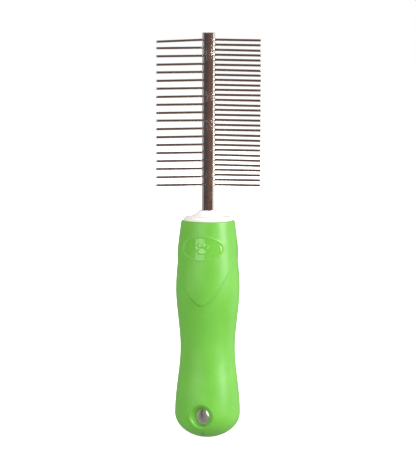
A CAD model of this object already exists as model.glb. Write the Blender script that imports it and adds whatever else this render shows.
import math

import bmesh
import bpy
import numpy as np
from mathutils import Matrix, Vector


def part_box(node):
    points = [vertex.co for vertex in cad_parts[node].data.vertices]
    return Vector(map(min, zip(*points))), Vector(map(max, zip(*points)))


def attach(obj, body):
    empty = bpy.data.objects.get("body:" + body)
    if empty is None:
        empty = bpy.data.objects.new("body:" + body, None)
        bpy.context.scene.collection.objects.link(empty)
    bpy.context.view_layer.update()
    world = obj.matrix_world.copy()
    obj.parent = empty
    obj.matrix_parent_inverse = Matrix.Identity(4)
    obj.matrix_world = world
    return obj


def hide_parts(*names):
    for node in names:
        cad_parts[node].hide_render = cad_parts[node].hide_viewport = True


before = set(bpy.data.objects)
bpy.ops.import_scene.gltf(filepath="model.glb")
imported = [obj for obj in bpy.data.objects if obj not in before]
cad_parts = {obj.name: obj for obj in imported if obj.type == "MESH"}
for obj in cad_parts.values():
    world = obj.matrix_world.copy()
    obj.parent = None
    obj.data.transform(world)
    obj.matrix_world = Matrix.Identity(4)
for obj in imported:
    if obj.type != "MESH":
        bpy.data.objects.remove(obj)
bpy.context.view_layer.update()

MM = 0.001  # lengths below are millimetres, and mesh points are metres

# Heights taken from the frame
GRIP_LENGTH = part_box("grip_sleeve")[1].z / MM
COLLAR_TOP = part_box("collar")[1].z / MM
ROD_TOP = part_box("spine_rod")[1].z / MM
ROD_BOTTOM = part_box("spine_rod")[0].z / MM

# Grip outline: (height, radius) where it swells and narrows, above the rounded end
END_RADIUS = 16.45
END_HEIGHT = 12.5
OUTLINE = (
    (END_HEIGHT, END_RADIUS),
    (29.8, 15.05),
    (45.3, 13.75),
    (GRIP_LENGTH - 35.0, 16.05),
    (GRIP_LENGTH - 18.0, 14.95),
    (GRIP_LENGTH, 12.75),
)
RIM_LEAN = 0.14
RIM_ROUND = 0.3
GRIP_WALL = 2.3

# Thumb panel, badge and paw
PANEL_RISE = 0.75
PANEL_FOOT = -0.65  # the step starts here, measured across the panel's edge
PANEL_BROW = 0.25  # and ends here
PANEL_TIP = GRIP_LENGTH - 41.2
PANEL_TIP_ROUND = 9.0
PANEL_CLIMB = 0.47  # rise for each degree round from the front
PANEL_SIDE_ROUND = 5.0  # degrees over which the edge turns over at the sides
BADGE_CENTRE = GRIP_LENGTH - 13.0
BADGE_HALF = (9.7, 5.85)
BADGE_LINE = 0.26
BADGE_RISE = 0.25
PAW_SOFTNESS = 0.14
PAD_DROP = 1.3
PAD_HALF = (1.9, 1.45)
TOE_HALF = (0.7, 1.05)
TOE_REACH = 3.2
TOE_ANGLES = (-58, -20, 20, 58)

# Hanging eye
EYE_HEIGHT = 11.6
EYE_HALF = (3.25, 4.0)
EYE_FACE = 11.6
EYE_LIP = 1.2
LIP_RISE = 0.12
LIP_OUT = 0.3  # the bead's crest outside the eye's edge, and its half width
CONE_INSIDE = -0.5  # the dish stops falling this far inside the eye's edge
DISH_FADE = (7.0, 9.0)  # the dish dies away between these distances from the edge
DISH_WIDEN = (math.tan(math.radians(33)), math.tan(math.radians(25)))  # across, up, for 1 mm out
DISH_BLEND = 1.6
INNER_BLEND = 0.3  # the same crease on the inner wall
CHANNEL_DEPTH = 0.3  # shallow channel from the eye down to the gate
CHANNEL_HALF = 0.9
CHANNEL_FADE = 1.5
GATE_PLACE = (-0.3, 2.2)  # moulding mark, across and up, on the front of the rounded end
GATE_DEPTH = 0.35
GATE_HALF = (0.75, 1.3)

# Collar
BRIM_RADIUS = 12.05
BRIM_THICKNESS = 2.1
BRIM_FOOT_ROUND = 0.3
BRIM_TOP_ROUND = 0.8
NECK_RADIUS = 5.175
NECK_ROUND = 0.25
FLARE_LENGTH = 2.3
SPIGOT_RADIUS = 8.2
SPIGOT_LENGTH = 8.0

# Head
ROD_RADIUS = 3.175
ROD_CHAMFER = 0.2
HEAD_TWIST = math.radians(12)
ROW_TOP_DROP = 3.5
ROW_SPAN = 72.5
PIN_RADIUS = 0.6
PIN_REACH = 23.0
PIN_DEPTH = 2.4
PIN_DROOP = 1.0  # degrees
PIN_TIP_ROUND = 0.2
BEAD_RISE = {"coarse": 0.04, "fine": 0.12}
BEAD_LENGTH = 0.45
BEAD_REACH = 1.4  # of the close rings that carry the bead
TIP_RINGS = 5
ROD_RINGS = 120
PIN_WANDER = 0.35  # degrees either way that a pin may stand off its row
TOP_PIN_EXTRA = 1.6  # degrees more that the top coarse pin hangs

WIDEST = 40.0  # past any surface of the comb
SHARPEST = math.radians(38)  # edges past this turn are shaded sharp

# The grip's grid: each stop is a height or an angle and the step that leads to the next
PANEL_START = 50.0  # rows above this height lean with the panel's edge
GRIP_ROWS = (
    (END_HEIGHT, 0.45),
    (24, 1.0),
    (PANEL_START, 1.0),
    (PANEL_TIP - 1.2, 0.08),
    (PANEL_TIP + 0.4, 0.2),
    (PANEL_TIP + 1.2, 0.8),
    (82, 0.17),
    (103, 0.6),
    (GRIP_LENGTH - RIM_ROUND, 0),
)
GRIP_COLUMNS = ((-180, 3.2), (-50, 0.7), (50, 3.2), (180, 0))
INNER_ROWS = ((END_HEIGHT, 0.8), (22, 3.0), (GRIP_LENGTH, 0))
END_ROWS = 44  # round the end, pole to side
RIM_ROWS = 7

# Camera: a long lens a little above the middle, square to the pins
VIEW_TURN = math.radians(12.0)
VIEW_DISTANCE = 1.35
VIEW_HEIGHT = 0.2186
AIM_HEIGHT = 0.1026
AIM_ASIDE = -0.00003
VIEW_ROLL = math.radians(0.18)
LENS = 207.6

# The surround's colours, as the metal mirrors them
ROOM_LEFT = (0.082, 0.068, 0.068, 1)
ROOM_RIGHT = (0.175, 0.098, 0.074, 1)
SWEEP_FAR = (0.40, 0.37, 0.36, 1)
SWEEP_NEAR = (1.10, 1.08, 1.05, 1)

# Soft boxes: name, turn in degrees round from the camera's side, distance and height in metres,
# size, brightness and whether shiny surfaces mirror it. The low fills stand in for light thrown
# back by a pale sweep, and bottom_fill shines up through the floor.
LIGHTS = (
    ("left_box", -31, 2.6, 1.0, (1.75, 1.4), 0.34, True),
    ("right_box", 64, 2.6, 0.95, (1.4, 1.3), 1.05, True),
    ("left_fill", -60, 2.4, 0.06, (1.4, 0.8), 0.40, False),
    ("right_fill", 40, 2.4, 0.06, (1.4, 0.8), 0.28, False),
    ("top_fill", 0, 0.3, 1.8, (1.4, 1.4), 0.42, False),
    ("bottom_fill", 0, 0.9, -1.0, (1.6, 1.6), 0.36, False),
    ("back_fill", 180, 2.4, 1.2, (1.4, 1.2), 0.45, False),
)
FLOOR_REACH = 6.0  # metres

# Finishes
GREEN_DEEP = (0.132, 0.440, 0.046, 1)
GREEN_LIGHT = (0.154, 0.487, 0.058, 1)
GREEN_RAISED = (0.26, 0.66, 0.13, 1)
GREEN_DUSTY = (0.45, 0.72, 0.30, 1)
GATE_STAIN = (0.10, 0.16, 0.05, 1)
CORE_CREASE = 35  # degrees past which the core's edges stay sharp


def smooth_step(value, low, high):
    """0 below low, 1 above high, and 3t^2 - 2t^3 of the way t between them."""
    t = np.clip((value - low) / (high - low), 0, 1)
    return t * t * (3 - 2 * t)


def softest(a, b, blend):
    """The lower of two surfaces, with their crease rounded over the length blend."""
    h = np.clip(0.5 + 0.5 * (b - a) / blend, 0, 1)
    return b + (a - b) * h - blend * h * (1 - h)


def spline_through(points, first_slope, last_slope):
    """Cubic spline r(z) through the points with a set slope at each end.

    The second derivatives come from the usual tridiagonal system.
    """
    z, r = np.array(points).T
    step = np.diff(z)
    rise = np.diff(r) / step
    count = len(z)
    left = np.zeros((count, count))
    right = np.zeros(count)
    inner = np.arange(1, count - 1)
    left[inner, inner - 1] = step[:-1]
    left[inner, inner] = 2 * (step[:-1] + step[1:])
    left[inner, inner + 1] = step[1:]
    right[inner] = 6 * np.diff(rise)
    left[0, :2] = (2 * step[0], step[0])
    right[0] = 6 * (rise[0] - first_slope)
    left[-1, -2:] = (step[-1], 2 * step[-1])
    right[-1] = 6 * (last_slope - rise[-1])
    bend = np.linalg.solve(left, right)

    def curve(height):
        i = np.clip(np.searchsorted(z, height) - 1, 0, count - 2)
        before = height - z[i]
        after = z[i + 1] - height
        h = step[i]
        return (
            (bend[i] * after**3 + bend[i + 1] * before**3) / (6 * h)
            + (r[i] / h - bend[i] * h / 6) * after
            + (r[i + 1] / h - bend[i + 1] * h / 6) * before
        )

    return curve


side_radius = spline_through(OUTLINE, 0.0, -RIM_LEAN)


def oval_edge(turn, half):
    """How far an oval of these half sizes reaches from its centre, at a turn from across."""
    return 1 / np.hypot(np.cos(turn) / half[0], np.sin(turn) / half[1])


def oval_gap(across, up, half):
    """Distance outside an oval, measured on the line through its centre."""
    return np.hypot(across, up) - oval_edge(np.arctan2(up, across), half)


def panel_edge(angle):
    """Height of the panel's edge at an angle round from the front, and its slope.

    A hyperbola in the angle: round at the front, then a steady climb to the side,
    where it turns over smoothly, and the same from the back.
    """
    from_side = np.abs(np.abs(np.degrees(angle)) - 90)
    folded = 90 - np.hypot(from_side, PANEL_SIDE_ROUND)
    climb = np.hypot(PANEL_CLIMB * folded, PANEL_TIP_ROUND)
    per_degree = math.radians(1) * END_RADIUS
    turning = np.hypot(from_side, PANEL_SIDE_ROUND)
    slope = PANEL_CLIMB**2 * folded * from_side / (climb * turning * per_degree)
    return PANEL_TIP + climb - PANEL_TIP_ROUND, slope


def paw_mask(across, up):
    """1 on the paw's pad and toes, 0 off them, soft at their edges."""
    mask = smooth_step(-oval_gap(across, up, PAD_HALF), -PAW_SOFTNESS, PAW_SOFTNESS)
    for degrees in TOE_ANGLES:
        turn = math.radians(degrees)
        lean = turn / 2
        dx = across - TOE_REACH * math.sin(turn)
        dz = up - TOE_REACH * math.cos(turn)
        along = dx * math.sin(lean) + dz * math.cos(lean)
        beside = dx * math.cos(lean) - dz * math.sin(lean)
        gap = oval_gap(beside, along, TOE_HALF)
        mask = np.maximum(mask, smooth_step(-gap, -PAW_SOFTNESS, PAW_SOFTNESS))
    return mask


def grip_masks(angle, radius, height):
    """Panel, badge line, paw and polish, each from 0 to 1, over the outer surface."""
    across = radius * np.sin(angle)
    front = np.cos(angle) > 0
    up = height - BADGE_CENTRE
    edge, slope = panel_edge(angle)
    grow = np.hypot(across / BADGE_HALF[0] ** 2, up / BADGE_HALF[1] ** 2)
    ratio = np.hypot(across / BADGE_HALF[0], up / BADGE_HALF[1])
    line_gap = (ratio - 1) * ratio / np.maximum(grow, 1e-6)
    return {
        "panel": smooth_step((height - edge) / np.hypot(1, slope), PANEL_FOOT, PANEL_BROW),
        "line": np.exp(-((line_gap / BADGE_LINE) ** 2)) * front,
        "paw": paw_mask(across, up + PAD_DROP) * front,
        "polish": smooth_step(-line_gap, BADGE_LINE, 2 * BADGE_LINE) * front,
    }


def carve_eye(points, face, widen, blend):
    """Draws the surface in towards the eye on both sides.

    The depth is the lower of the surface and an oval cone about the eye. The cone
    starts at face, widen outside the eye's edge, and rises by the distance outside
    the edge over the widening in that direction, with a low bead round the edge.
    """
    x, y, z = points[..., 0], points[..., 1], points[..., 2]
    gap = oval_gap(x, z - EYE_HEIGHT, EYE_HALF) - widen
    rate = oval_edge(np.arctan2(z - EYE_HEIGHT, x), DISH_WIDEN)
    bead = LIP_RISE * np.exp(-(((gap - LIP_OUT) / LIP_OUT) ** 2))
    cone = face + np.maximum(gap, CONE_INSIDE) / rate + bead
    depth = softest(np.abs(y), cone, blend)
    near = smooth_step(-gap, -DISH_FADE[1], -DISH_FADE[0])
    points[..., 1] = np.where(y < 0, -1, 1) * (np.abs(y) * (1 - near) + depth * near)
    return points


def put_mesh(name, points, masks=None):
    """A closed mesh from a grid of points: rows run round, and the first and last rows are poles."""
    rows, columns = points.shape[:2]
    inner = points[1:-1].reshape(-1, 3)
    flat = np.vstack([points[0, :1], inner, points[-1, :1]]) * MM
    index = 1 + np.arange((rows - 2) * columns).reshape(rows - 2, columns)
    beside = np.roll(index, -1, axis=1)
    quads = np.stack([index[:-1], beside[:-1], beside[1:], index[1:]], axis=-1).reshape(-1, 4)
    last = len(flat) - 1
    low = np.stack([np.zeros(columns, int), beside[0], index[0]], axis=-1)
    high = np.stack([np.full(columns, last), index[-1], beside[-1]], axis=-1)
    mesh = bpy.data.meshes.new(name)
    mesh.from_pydata(flat.tolist(), [], low.tolist() + quads.tolist() + high.tolist())
    for key, values in (masks or {}).items():
        data = np.concatenate([values[0, :1], values[1:-1].ravel(), values[-1, :1]])
        attribute = mesh.attributes.new(key, "FLOAT", "POINT")
        attribute.data.foreach_set("value", data.astype(np.float32))
    mesh.polygons.foreach_set("use_smooth", [True] * len(mesh.polygons))
    piece = bpy.data.objects.new(name, mesh)
    bpy.context.scene.collection.objects.link(piece)
    return piece


def round_points(angle, radius, height):
    """Points at an angle round from the front, a radius and a height."""
    return np.stack([radius * np.sin(angle), -radius * np.cos(angle), height], axis=-1)


def spaced(*stops):
    """Values from stop to stop, each given with the step that leads to the next."""
    runs = [
        np.linspace(a, b, max(2, round((b - a) / step) + 1))[:-1]
        for (a, step), (b, _) in zip(stops, stops[1:])
    ]
    return np.concatenate(runs + [[stops[-1][0]]])


def row_heights(angle):
    """Heights of the grid rows above the rounded end, for each angle.

    The rows are laid out for the front, close together at the panel's edge and on
    the badge. At other angles each row moves up with the edge, in proportion to
    how near it is to the edge from PANEL_START or from the rim.
    """
    front = spaced(*GRIP_ROWS)[1:, None]
    edge = panel_edge(angle)[0]
    top = GRIP_LENGTH - RIM_ROUND
    below = PANEL_START + (front - PANEL_START) * (edge - PANEL_START) / (PANEL_TIP - PANEL_START)
    above = top - (top - front) * (top - edge) / (top - PANEL_TIP)
    leaning = np.where(front < PANEL_TIP, below, above)
    return np.where(front < PANEL_START, front + 0 * edge, leaning)


def gate_and_channel(points, front):
    """The moulding mark and the channel up to the eye, each from 0 to 1, on the front.

    The mark is e^-g^2, where g is the distance from its middle over its half sizes.
    The channel is e^-c^2 across, and dies away from CHANNEL_FADE below the eye.
    """
    x, z = points[..., 0], points[..., 2]
    gap = np.hypot((x - GATE_PLACE[0]) / GATE_HALF[0], (z - GATE_PLACE[1]) / GATE_HALF[1])
    below_eye = smooth_step(EYE_HEIGHT - EYE_HALF[1] - z, 0, CHANNEL_FADE)
    channel = np.exp(-(((x - GATE_PLACE[0]) / CHANNEL_HALF) ** 2)) * below_eye
    return np.exp(-(gap**2)) * front, channel * front


def grip_rim(angle, radius):
    """Quarter round from the outer wall over to the grip's flat top."""
    over = np.radians(np.linspace(0, 90, RIM_ROWS))[1:, None]
    height = GRIP_LENGTH - RIM_ROUND * (1 - np.sin(over)) + 0 * angle
    return round_points(angle + 0 * over, radius - RIM_ROUND * (1 - np.cos(over)), height)


def grip_inside(turns, end):
    """Inner wall, from the rim down to the inner pole: the outline less the wall."""
    down = spaced(*INNER_ROWS)[::-1, None]
    back = end[-2::-2]
    radius = np.concatenate([side_radius(down) - GRIP_WALL, (END_RADIUS - GRIP_WALL) * np.sin(back)])
    height = np.concatenate([down, END_HEIGHT - (END_HEIGHT - GRIP_WALL) * np.cos(back)])
    radius[-1] = 0
    wall = round_points(turns + 0 * radius, radius + 0 * turns, height + 0 * turns)
    return carve_eye(wall, EYE_FACE - EYE_LIP, GRIP_WALL, INNER_BLEND)


def make_grip():
    """The soft sleeve, as one closed surface carried round the handle.

    Its profile runs from the outer pole up the outline, over the rim, and down the
    inner wall to the inner pole. Panel, badge and paw stand out along the radius,
    the eye is drawn in and then cut through, and the mark and channel are sunk in.
    """
    turns = np.radians(spaced(*GRIP_COLUMNS)[:-1])
    end = np.radians(np.linspace(0, 90, END_ROWS))[:, None]
    rows = row_heights(turns)
    height = np.concatenate([END_HEIGHT * (1 - np.cos(end)) + 0 * turns, rows])
    base = np.concatenate([END_RADIUS * np.sin(end) + 0 * turns, side_radius(rows)])
    angle = turns + 0 * height
    masks = grip_masks(angle, base, height)
    raised = BADGE_RISE * np.maximum(masks["line"], masks["paw"])
    radius = base + PANEL_RISE * masks["panel"] + raised
    outer = carve_eye(round_points(angle, radius, height), EYE_FACE, 0.0, DISH_BLEND)
    gate, channel = gate_and_channel(outer, np.cos(angle) > 0)
    outer *= (1 - (gate * GATE_DEPTH + channel * CHANNEL_DEPTH) / END_RADIUS)[..., None]
    rim = grip_rim(turns, radius[-1])
    inner = grip_inside(turns, end)

    extra = len(rim) + len(inner)
    masks["gate"] = gate
    masks = {
        name: np.vstack([mask, np.repeat(mask[-1:], extra, axis=0)]) for name, mask in masks.items()
    }
    grip = put_mesh("soft_grip", np.concatenate([outer, rim, inner]), masks)
    cut_eye(grip)
    return grip


def cut_eye(piece):
    """Cuts the eye through a piece with an oval rod along Y, and drops the rod."""
    round_eye = np.radians(np.linspace(0, 360, 97)[:-1])
    reach = np.array([-WIDEST, -WIDEST, WIDEST, WIDEST])[:, None]
    size = np.array([0, 1, 1, 0])[:, None]
    x = size * EYE_HALF[0] * np.cos(round_eye)
    z = EYE_HEIGHT + size * EYE_HALF[1] * np.sin(round_eye)
    rod = put_mesh("eye_cutter", np.stack([x, reach + 0 * x, z], axis=-1))
    fix_normals(rod)
    cut = piece.modifiers.new("eye", "BOOLEAN")
    cut.operation = "DIFFERENCE"
    cut.solver = "EXACT"
    cut.object = rod
    bpy.context.view_layer.update()
    done = bpy.data.meshes.new_from_object(piece.evaluated_get(bpy.context.evaluated_depsgraph_get()))
    piece.modifiers.clear()
    piece.data = done
    done.name = piece.name
    bpy.data.objects.remove(rod)


def fix_normals(piece):
    """Turns every face of a closed mesh outwards."""
    work = bmesh.new()
    work.from_mesh(piece.data)
    bmesh.ops.recalc_face_normals(work, faces=work.faces)
    work.to_mesh(piece.data)
    work.free()


def turned(profile, columns=96):
    """Points of a profile of (radius, height) rows carried round the Z axis, pole to pole."""
    angle, radius = np.meshgrid(np.linspace(0, 2 * np.pi, columns + 1)[:-1], profile[:, 0])
    return round_points(angle, radius, np.meshgrid(angle[0], profile[:, 1])[1])


def quarter(centre, radius, start, rows=6):
    """A quarter circle of (radius, height) rows, anticlockwise from start degrees."""
    turn = np.radians(start + np.linspace(0, 90, rows))
    return np.stack([centre[0] + radius * np.cos(turn), centre[1] + radius * np.sin(turn)], axis=-1)


def make_collar():
    """The white collar: spigot, then a brim with rounded edges and a flare up to the neck.

    The flare falls off from the neck as e^-t, where t is the distance out over its length.
    """
    brim_top = GRIP_LENGTH + BRIM_THICKNESS
    foot = quarter((BRIM_RADIUS - BRIM_FOOT_ROUND, GRIP_LENGTH + BRIM_FOOT_ROUND), BRIM_FOOT_ROUND, -90)
    top = quarter((BRIM_RADIUS - BRIM_TOP_ROUND, brim_top - BRIM_TOP_ROUND), BRIM_TOP_ROUND, 0, 10)
    neck_edge = NECK_RADIUS - NECK_ROUND
    out = np.linspace(BRIM_RADIUS - BRIM_TOP_ROUND, NECK_RADIUS, 40)[1:]
    fall = np.exp(-(out - NECK_RADIUS) / FLARE_LENGTH)
    last = math.exp(-(BRIM_RADIUS - BRIM_TOP_ROUND - NECK_RADIUS) / FLARE_LENGTH)
    rise = COLLAR_TOP - NECK_ROUND - brim_top
    flare = np.stack([out, brim_top + rise * (fall - last) / (1 - last)], axis=-1)
    neck = quarter((neck_edge, COLLAR_TOP - NECK_ROUND), NECK_ROUND, 0)
    below = GRIP_LENGTH - SPIGOT_LENGTH
    start = np.array([(0, below), (SPIGOT_RADIUS, below), (SPIGOT_RADIUS, GRIP_LENGTH)])
    end = np.array([(ROD_RADIUS, COLLAR_TOP), (0, COLLAR_TOP)])
    return put_mesh("white_collar", turned(np.concatenate([start, foot, top, flare, neck, end])))


def make_rod():
    """The plated rod, a plain round bar with a small chamfer at both ends."""
    top = np.array([
        (ROD_RADIUS, ROD_TOP - ROD_CHAMFER),
        (ROD_RADIUS - ROD_CHAMFER, ROD_TOP),
        (0, ROD_TOP),
    ])
    bottom = np.array([
        (0, ROD_BOTTOM),
        (ROD_RADIUS - ROD_CHAMFER, ROD_BOTTOM),
        (ROD_RADIUS, ROD_BOTTOM + ROD_CHAMFER),
    ])
    heights = np.linspace(ROD_BOTTOM + ROD_CHAMFER, ROD_TOP - ROD_CHAMFER, ROD_RINGS)[1:-1]
    side = np.stack([0 * heights + ROD_RADIUS, heights], axis=-1)
    return put_mesh("plated_rod", turned(np.concatenate([bottom, side, top])))


def make_pin(name, side, height, droop, swing, bead_rise):
    """One wire pin: a round bar with a low bead of plating where it leaves the rod.

    Its radius is the wire's, plus the bead's rise times e^-(t/length)^2, where t is
    the distance out from the rod, and a rounded tip.
    """
    start = ROD_RADIUS - PIN_DEPTH
    end = ROD_RADIUS + PIN_REACH
    over = np.radians(np.linspace(0, 90, TIP_RINGS))
    along = np.concatenate([
        np.linspace(start, ROD_RADIUS - 0.2, 3),
        np.linspace(ROD_RADIUS, ROD_RADIUS + BEAD_REACH, 12),
        np.linspace(ROD_RADIUS + 2.2, end - 1.4, 8),
        end - PIN_TIP_ROUND * (1 - np.sin(over)),
    ])
    radius = PIN_RADIUS + bead_rise * np.exp(-(((along - ROD_RADIUS) / BEAD_LENGTH) ** 2))
    radius[-TIP_RINGS:] = PIN_RADIUS - PIN_TIP_ROUND * (1 - np.cos(over))
    radius = np.concatenate([[0], radius, [0]])
    along = np.concatenate([along[:1], along, along[-1:]])
    turn = np.linspace(0, 2 * np.pi, 25)[:-1]
    cosine, sine = np.cos(swing), np.sin(swing)
    out = np.array([side * cosine, side * sine, 0]) * np.cos(droop) - np.array([0, 0, np.sin(droop)])
    beside = np.array([-sine, cosine, 0]) * side
    up = np.cross(out, beside)
    ring = np.cos(turn)[:, None] * beside + np.sin(turn)[:, None] * up
    points = along[:, None, None] * out + radius[:, None, None] * ring[None] + np.array([0, 0, height])
    return put_mesh(name, points)


def make_pins(row, side, material):
    """One row of pins, evenly spaced down the rod, each standing a little off true."""
    nodes = sorted(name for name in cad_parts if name.startswith(row + "_pin_"))
    wander = np.random.default_rng(len(nodes)).uniform(-1, 1, (len(nodes), 2)) * PIN_WANDER
    for number, node in enumerate(nodes):
        height = ROD_TOP - ROW_TOP_DROP - ROW_SPAN * number / (len(nodes) - 1)
        droop = PIN_DROOP + wander[number, 0]
        if row == "coarse" and number == 0:
            droop += TOP_PIN_EXTRA
        swing = HEAD_TWIST + math.radians(wander[number, 1])
        name = node.replace("_pin_", "_wire_")
        pin = make_pin(name, side, height, math.radians(droop), swing, BEAD_RISE[row])
        place_piece(pin, node, material)


def place_piece(piece, node, material):
    """Rides a piece on the comb, in place of a node and with its finish."""
    fix_normals(piece)
    piece.data.set_sharp_from_angle(angle=SHARPEST)
    piece.data.materials.append(material)
    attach(piece, "root")
    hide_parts(node)


class Value:
    """A shader value: a socket whose operators add Math nodes."""

    def __init__(self, finish, socket):
        self.finish = finish
        self.socket = socket

    def math(self, operation, *others):
        """A Math node with this value first."""
        sockets = {i + 1: o for i, o in enumerate(others)}
        return self.finish.node("ShaderNodeMath", {"operation": operation}, {0: self, **sockets})

    def flipped(self, operation, other):
        """A Math node with this value second."""
        return self.finish.node("ShaderNodeMath", {"operation": operation}, {0: other, 1: self})

    def __add__(self, other):
        return self.math("ADD", other)

    def __sub__(self, other):
        return self.math("SUBTRACT", other)

    def __mul__(self, other):
        return self.math("MULTIPLY", other)

    def __rsub__(self, other):
        return self.flipped("SUBTRACT", other)

    __radd__ = __add__
    __rmul__ = __mul__

    def between(self, low, high):
        """0 at low, 1 at high, smooth between them."""
        settings = {"interpolation_type": "SMOOTHSTEP"}
        sockets = {"Value": self, "From Min": low, "From Max": high}
        return self.finish.node("ShaderNodeMapRange", settings, sockets, "Result")


def new_finish(name):
    """A new material and its Finish."""
    material = bpy.data.materials.new(name)
    material.use_nodes = True
    return material, Finish(material.node_tree)


class Finish:
    """The nodes of one material or world: node() adds any of them, and shade() ends a material."""

    def __init__(self, tree):
        self.tree = tree
        self.tree.nodes.clear()

    def node(self, kind, settings=None, sockets=None, output=0):
        """Adds a node: its settings first, then its sockets' values or links."""
        made = self.tree.nodes.new(kind)
        for key, value in (settings or {}).items():
            setattr(made, key, value)
        for key, value in (sockets or {}).items():
            if isinstance(value, Value):
                self.tree.links.new(value.socket, made.inputs[key])
            else:
                made.inputs[key].default_value = value
        return Value(self, made.outputs[output]) if made.outputs else made

    def place(self, stretch=(1, 1, 1)):
        """Object coordinates, stretched."""
        where = self.node("ShaderNodeTexCoord", output="Object")
        return self.node("ShaderNodeMapping", None, {"Vector": where, "Scale": stretch})

    def noise(self, where, size, detail=3.0, roughness=0.5):
        """Noise with features of about this size in millimetres."""
        sockets = {"Vector": where, "Scale": 1 / (size * MM), "Detail": detail, "Roughness": roughness}
        return self.node("ShaderNodeTexNoise", None, sockets, "Fac")

    def split(self, vector):
        """The three parts of a vector."""
        first = self.node("ShaderNodeSeparateXYZ", None, {0: vector})
        return [Value(self, socket) for socket in first.socket.node.outputs]

    def mask(self, name):
        """A mask kept on the mesh."""
        return self.node("ShaderNodeAttribute", {"attribute_name": name}, None, "Fac")

    def blend(self, factor, first, second):
        """A colour between two colours."""
        sockets = {0: factor, 6: first, 7: second}
        return self.node("ShaderNodeMix", {"data_type": "RGBA"}, sockets, 2)

    def bump(self, height, depth, before=None):
        """A normal from a height of 0 to 1 that stands depth millimetres tall."""
        sockets = {"Height": height, "Strength": 1.0, "Distance": depth * MM}
        if before is not None:
            sockets["Normal"] = before
        return self.node("ShaderNodeBump", None, sockets, "Normal")

    def shade(self, **sockets):
        """The surface shader, joined to the output."""
        named = {key.replace("_", " "): value for key, value in sockets.items()}
        shader = self.node("ShaderNodeBsdfPrincipled", None, named, "BSDF")
        self.node("ShaderNodeOutputMaterial", None, {"Surface": shader})


def soft_green():
    """Satin soft-touch rubber: fine grain, faint mottle, polished badge, pale dust."""
    material, f = new_finish("soft_green")
    where = f.place()
    mottle = f.noise(where, 14, 2).between(0.3, 0.7)
    cloud = f.noise(where, 2.2, 3).between(0.25, 0.75)
    grain = f.noise(where, 0.35, 4, 0.6)
    dust = f.noise(where, 0.8, 1).between(0.765, 0.80)
    polish = f.mask("polish")
    raised = f.mask("line") + f.mask("paw")
    gate = f.mask("gate")
    colour = f.blend(mottle * 0.7 + cloud * 0.3, GREEN_DEEP, GREEN_LIGHT)
    colour = f.blend(raised * 0.35, colour, GREEN_RAISED)
    colour = f.blend(dust * 0.35, colour, GREEN_DUSTY)
    colour = f.blend(gate * 0.75, colour, GATE_STAIN)
    rough = (1 - polish) * (0.30 + 0.10 * grain + 0.04 * cloud) + polish * 0.10
    normal = f.bump(grain * (1 - 0.9 * polish), 0.012)
    normal = f.bump(cloud, 0.02, normal)
    f.shade(Base_Color=colour, Roughness=rough, Normal=normal, Specular_IOR_Level=0.5)
    return material


def bright_plate(name, dark, light, polish, grain):
    """Bright plating: clear, with pale worn specks, fine drawn lines and a slow haze."""
    material, f = new_finish(name)
    mottle = f.noise(f.place(), grain, 4, 0.65).between(0.35, 0.68)
    haze = f.noise(f.place(), 6 * grain, 2).between(0.35, 0.7)
    speck = f.noise(f.place(), 0.45 * grain, 2).between(0.54, 0.70) * haze
    colour = f.blend(mottle * 0.6 + haze * 0.4, dark, light)
    rough = polish + 0.02 * mottle + 0.30 * speck
    normal = f.bump(mottle, 0.0025)
    normal = f.bump(speck, 0.004, normal)
    f.shade(Base_Color=colour, Metallic=1.0, Roughness=rough, Normal=normal)
    return material


def glossy_white(name, low, high, roughness):
    """Glossy moulded white plastic with a faint flow mottle."""
    material, f = new_finish(name)
    flow = f.noise(f.place((1, 1, 0.5)), 6, 2).between(0.3, 0.7)
    grain = f.noise(f.place(), 0.6, 3)
    colour = f.blend(flow, low, high)
    rough = roughness + 0.06 * grain + 0.04 * flow
    normal = f.bump(grain, 0.004)
    f.shade(Base_Color=colour, Roughness=rough, Normal=normal)
    return material


def plain_floor():
    """Pale matt studio floor with a faint grain."""
    material, f = new_finish("plain_floor")
    grain = f.noise(f.place(), 30, 2)
    colour = f.blend(grain, (0.88, 0.88, 0.88, 1), (0.92, 0.92, 0.92, 1))
    rough = 0.9 - 0.1 * grain
    f.shade(Base_Color=colour, Roughness=rough, Emission_Color=colour, Emission_Strength=0.9)
    return material


def smooth_node(name, material):
    """A CAD node shown as it is, with its loose faces welded and its sharp edges kept."""
    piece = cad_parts[name]
    piece.data.materials.clear()
    piece.data.materials.append(material)
    piece.data.polygons.foreach_set("use_smooth", [True] * len(piece.data.polygons))
    weld = piece.modifiers.new("weld", "WELD")
    weld.merge_threshold = 1e-6
    split = piece.modifiers.new("split", "EDGE_SPLIT")
    split.split_angle = math.radians(CORE_CREASE)


def soft_light(name, turn, reach, height, size, strength, mirrored):
    """A soft box at an angle round from the camera's side, aimed at the comb.

    Its power gives a white matt surface that faces it the brightness strength. The
    camera doesn't see it.
    """
    side = math.radians(turn) + VIEW_TURN
    place = Vector((math.sin(side) * reach, -math.cos(side) * reach, height))
    aim = Vector((0, 0, AIM_HEIGHT)) - place
    data = bpy.data.lights.new(name, "AREA")
    data.shape = "RECTANGLE"
    data.size, data.size_y = size
    data.energy = strength * math.pi**2 * aim.length_squared
    light = bpy.data.objects.new(name, data)
    bpy.context.scene.collection.objects.link(light)
    facing = aim.to_track_quat("-Z", "Y").to_matrix().to_4x4()
    light.matrix_world = Matrix.Translation(place) @ facing
    light.visible_glossy = mirrored
    light.visible_camera = False


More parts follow.
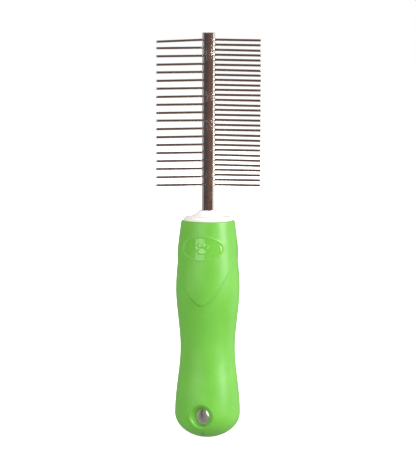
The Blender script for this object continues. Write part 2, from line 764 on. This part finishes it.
def make_camera():
    """A long lens a little above the comb's middle, rolled slightly about its own axis."""
    data = bpy.data.cameras.new("camera")
    data.lens = LENS
    data.sensor_width = 36
    data.clip_end = 50
    camera = bpy.data.objects.new("camera", data)
    bpy.context.scene.collection.objects.link(camera)
    across, ahead = math.sin(VIEW_TURN) * VIEW_DISTANCE, math.cos(VIEW_TURN) * VIEW_DISTANCE
    place = Vector((across, -ahead, VIEW_HEIGHT))
    right = Vector((math.cos(VIEW_TURN), math.sin(VIEW_TURN), 0))
    back = (place - Vector((0, 0, AIM_HEIGHT)) - right * AIM_ASIDE).normalized()
    up = back.cross(right)
    turned_right = right * math.cos(VIEW_ROLL) + up * math.sin(VIEW_ROLL)
    turned_up = back.cross(turned_right)
    facing = Matrix((turned_right, turned_up, back)).transposed().to_4x4()
    camera.matrix_world = Matrix.Translation(place) @ facing
    bpy.context.scene.camera = camera


def make_surround():
    """A white sweep behind the comb and a dim brown room in front, as the metal mirrors them.

    The brown of the rod and the pins comes from here, and their own plating is neutral.
    Where it is looked at straight it is plain white. The colour goes by direction alone:
    ahead is away from the camera and aside is to its right.
    """
    world = bpy.data.worlds.new("surround")
    bpy.context.scene.world = world
    world.use_nodes = True
    f = Finish(world.node_tree)
    x, y, z = f.split(f.node("ShaderNodeTexCoord", output="Generated"))
    ahead = y * math.cos(VIEW_TURN) - x * math.sin(VIEW_TURN)
    aside = x * math.cos(VIEW_TURN) + y * math.sin(VIEW_TURN)
    room = f.blend(aside.between(-0.6, 0.6), ROOM_LEFT, ROOM_RIGHT)
    sweep = f.blend(aside.between(0.60, 0.80), SWEEP_FAR, SWEEP_NEAR)
    colour = f.blend(ahead.between(-0.02, 0.05), room, sweep)
    looked_at = f.node("ShaderNodeLightPath", output="Is Camera Ray")
    colour = f.blend(looked_at, colour, (1.0, 1.0, 1.0, 1))
    surface = f.node("ShaderNodeBackground", None, {"Color": colour, "Strength": 1.0})
    f.node("ShaderNodeOutputWorld", None, {"Surface": surface})


def make_floor():
    """A flat pale floor that glows. It lights nothing, no surface mirrors it, and light passes through."""
    mesh = bpy.data.meshes.new("floor")
    reach = FLOOR_REACH
    corners = [(-reach, -reach, 0), (reach, -reach, 0), (reach, reach, 0), (-reach, reach, 0)]
    mesh.from_pydata(corners, [], [(0, 1, 2, 3)])
    floor = bpy.data.objects.new("floor", mesh)
    bpy.context.scene.collection.objects.link(floor)
    mesh.materials.append(plain_floor())
    floor.visible_glossy = False
    floor.visible_diffuse = False
    floor.visible_shadow = False


make_camera()
make_surround()
make_floor()
for light in LIGHTS:
    soft_light(*light)

place_piece(make_grip(), "grip_sleeve", soft_green())
white = glossy_white("collar_white", (0.90, 0.88, 0.85, 1), (0.94, 0.92, 0.89, 1), 0.2)
place_piece(make_collar(), "collar", white)
rod_plate = bright_plate("rod_plate", (0.74, 0.68, 0.65, 1), (0.95, 0.92, 0.90, 1), 0.04, 0.9)
place_piece(make_rod(), "spine_rod", rod_plate)
pin_plate = bright_plate("pin_plate", (0.72, 0.66, 0.62, 1), (0.92, 0.88, 0.85, 1), 0.06, 0.7)
make_pins("coarse", -1, pin_plate)
make_pins("fine", 1, pin_plate)
smooth_node("handle_core", glossy_white("core_white", (0.80, 0.78, 0.73, 1), (0.86, 0.84, 0.79, 1), 0.3))

bpy.context.scene.view_settings.view_transform = "Standard"
